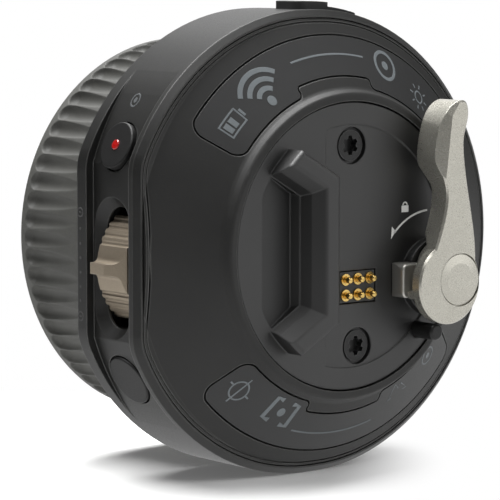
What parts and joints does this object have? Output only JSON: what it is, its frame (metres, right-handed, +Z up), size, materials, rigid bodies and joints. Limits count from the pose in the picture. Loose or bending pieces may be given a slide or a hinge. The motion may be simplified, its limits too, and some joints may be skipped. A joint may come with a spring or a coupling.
{
  "type": "wireless focus demand",
  "caption": "Handheld wireless focus control: a drum housing with a fluted focus wheel, a thumb rocker, push buttons and a quick-release mount with a lock lever and spring contacts.",
  "frame": {"origin": "centre of the mount plate's rear face, on the wheel's axis", "axes": "+Y along the wheel's axis from the mount towards the wheel's front, +Z up, -X towards the control flank"},
  "size_m": [0.0752, 0.0539, 0.0767],
  "materials": {
    "black_shell": "fine matte grain",
    "label_plate": "smooth matt with plain printed lines",
    "black_anodised": "fine bead-blasted, black anodised",
    "champagne_anodised": "bead-blasted, champagne anodised",
    "bronze_anodised": "fine bead-blasted, bronze anodised",
    "plain_aluminium": "turned",
    "dark_steel": "black oxide",
    "bright_steel": "polished",
    "bearing_steel": "ground",
    "gold_contact": "gold plated",
    "insulator": "moulded",
    "grip_rubber": "matte rubber",
    "flap_rubber": "matte rubber",
    "button_plastic": "fine matte",
    "red_jewel": "clear red",
    "circuit_board": "solder mask",
    "battery_wrap": "shrink wrap",
    "gear_plastic": "moulded acetal",
    "marking_plate": "write-on matt",
    "display_panel": "dark panel",
    "display_glass": "clear"
  },
  "bodies": {
    "housing": {"mid_housing": "black_shell", "rear_cover": "black_shell", "upper_label_plate": "label_plate", "lower_label_plate": "label_plate", "cover_screws": "dark_steel", "mount_plate": "black_anodised", "plate_screws": "dark_steel", "stop_pin": "dark_steel", "contact_block": "insulator", "contact_barrels": "gold_contact", "lever_pivot": "bright_steel", "lever_spring": "bright_steel", "button_switches": "insulator", "thumb_axle": "bright_steel", "thumb_clip": "dark_steel", "main_board": "circuit_board", "board_screws": "bright_steel", "battery_pack": "battery_wrap", "encoder_board": "circuit_board", "charging_port": "bright_steel", "port_anchor": "flap_rubber", "hub_stem": "plain_aluminium", "stem_screws": "bright_steel", "bearing_inner_races": "bearing_steel", "bearing_spacer": "plain_aluminium", "stem_nut": "plain_aluminium", "front_cap": "black_shell", "display_module": "display_panel", "display_window": "display_glass"},
    "focus_wheel": {"rubber_grip": "grip_rubber", "wheel_core": "black_anodised", "ring_gear": "gear_plastic", "marking_disc": "marking_plate", "bearing_outer_races": "bearing_steel"},
    "ball_rows": {"bearing_balls": "bearing_steel"},
    "encoder": {"encoder_pinion": "gear_plastic", "encoder_magnet": "bright_steel"},
    "thumb_rocker": {"thumb_lever": "bronze_anodised", "thumb_magnet": "bright_steel"},
    "record_key": {"record_button": "button_plastic", "record_jewel": "red_jewel"},
    "lower_key": {"lower_button": "button_plastic"},
    "lever": {"lock_lever": "champagne_anodised", "lever_cap": "champagne_anodised"},
    "latch": {"latch_block": "bright_steel"},
    "contacts": {"contact_plungers": "gold_contact"},
    "flap": {"port_cover": "flap_rubber"}
  },
  "joints": [
    {"name": "wheel_turn", "type": "hinge", "parent": "housing", "child": "focus_wheel", "pos_m": [0, 0.035, 0], "axis": [0, 1, 0], "continuous": true},
    {"name": "ball_row_turn", "type": "hinge", "parent": "housing", "child": "ball_rows", "pos_m": [0, 0.035, 0], "axis": [0, 1, 0], "continuous": true},
    {"name": "encoder_turn", "type": "hinge", "parent": "housing", "child": "encoder", "pos_m": [0.009, 0.027, -0.01559], "axis": [0, 1, 0], "continuous": true},
    {"name": "thumb_rock", "type": "hinge", "parent": "housing", "child": "thumb_rocker", "pos_m": [-0.0256, 0.0155, -0.0025], "axis": [0, 1, 0], "range_deg": [-20, 20]},
    {"name": "record_press", "type": "slide", "parent": "housing", "child": "record_key", "axis": [0.9227, 0, -0.3856], "range_m": [0, 0.0005], "stiffness_N_per_m": 300},
    {"name": "lower_press", "type": "slide", "parent": "housing", "child": "lower_key", "axis": [0.8816, 0, 0.4719], "range_m": [0, 0.0005], "stiffness_N_per_m": 300},
    {"name": "lever_swing", "type": "hinge", "parent": "housing", "child": "lever", "pos_m": [0.0175, -0.004, -0.006], "axis": [0, -1, 0], "range_deg": [0, 40]},
    {"name": "latch_slide", "type": "slide", "parent": "housing", "child": "latch", "axis": [-1, 0, 0], "range_m": [0, 0.0009]},
    {"name": "contacts_press", "type": "slide", "parent": "housing", "child": "contacts", "axis": [0, 1, 0], "range_m": [0, 0.0009], "stiffness_N_per_m": 300},
    {"name": "flap_swing", "type": "hinge", "parent": "housing", "child": "flap", "pos_m": [0.0087, 0.0142, 0.03735], "axis": [0, 1, 0], "range_deg": [0, 100]}
  ],
  "couplings": [
    {"joint": "encoder_turn", "follows": "wheel_turn", "ratio": 4},
    {"joint": "ball_row_turn", "follows": "wheel_turn", "ratio": 0.57212},
    {"joint": "latch_slide", "follows": "lever_swing", "m_per_rad": 0.0012891}
  ]
}
